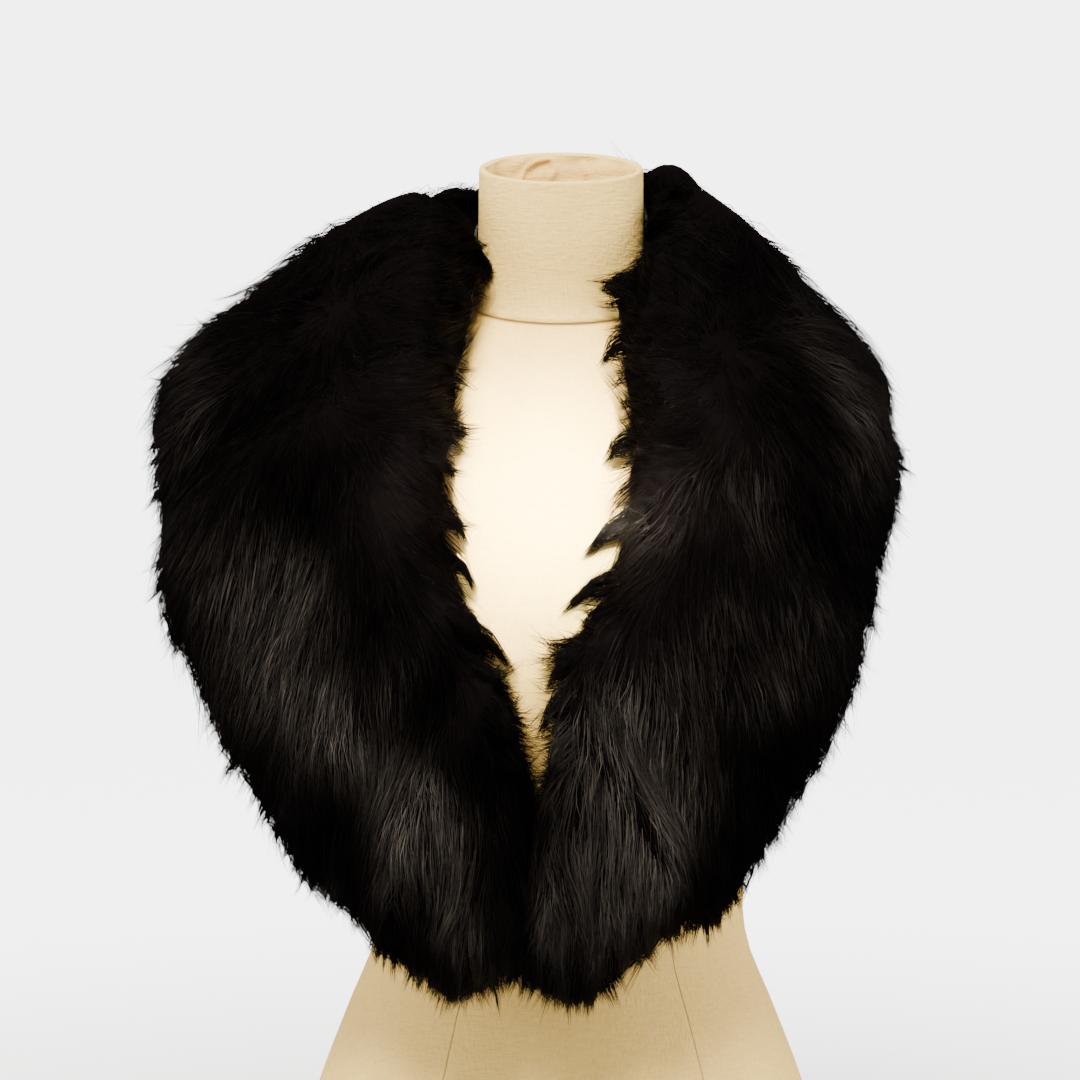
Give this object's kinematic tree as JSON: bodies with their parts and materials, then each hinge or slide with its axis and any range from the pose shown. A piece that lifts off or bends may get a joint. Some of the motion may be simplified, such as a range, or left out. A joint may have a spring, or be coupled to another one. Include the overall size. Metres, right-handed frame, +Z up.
{
  "type": "fur collar stole on a dress form",
  "caption": "Long-haired black fur stole draped round the neck and shoulders of a hollow, linen covered dress form and meeting at the front.",
  "frame": {"origin": "middle of the dress form's flat underside, where it stands", "axes": "+Z up, -Y the front where the stole's ends meet, +X towards the wearer's left"},
  "size_m": [0.4793, 0.3386, 0.7393],
  "materials": {
    "linen": "matte woven cloth",
    "board": "matte",
    "fur": "long silky hair"
  },
  "bodies": {
    "root": {"form_neck": "linen", "form_torso_front": "linen", "form_torso_back": "linen", "form_base_board": "board", "fur_front_right": "fur", "fur_back": "fur", "fur_front_left": "fur"}
  },
  "joints": []
}
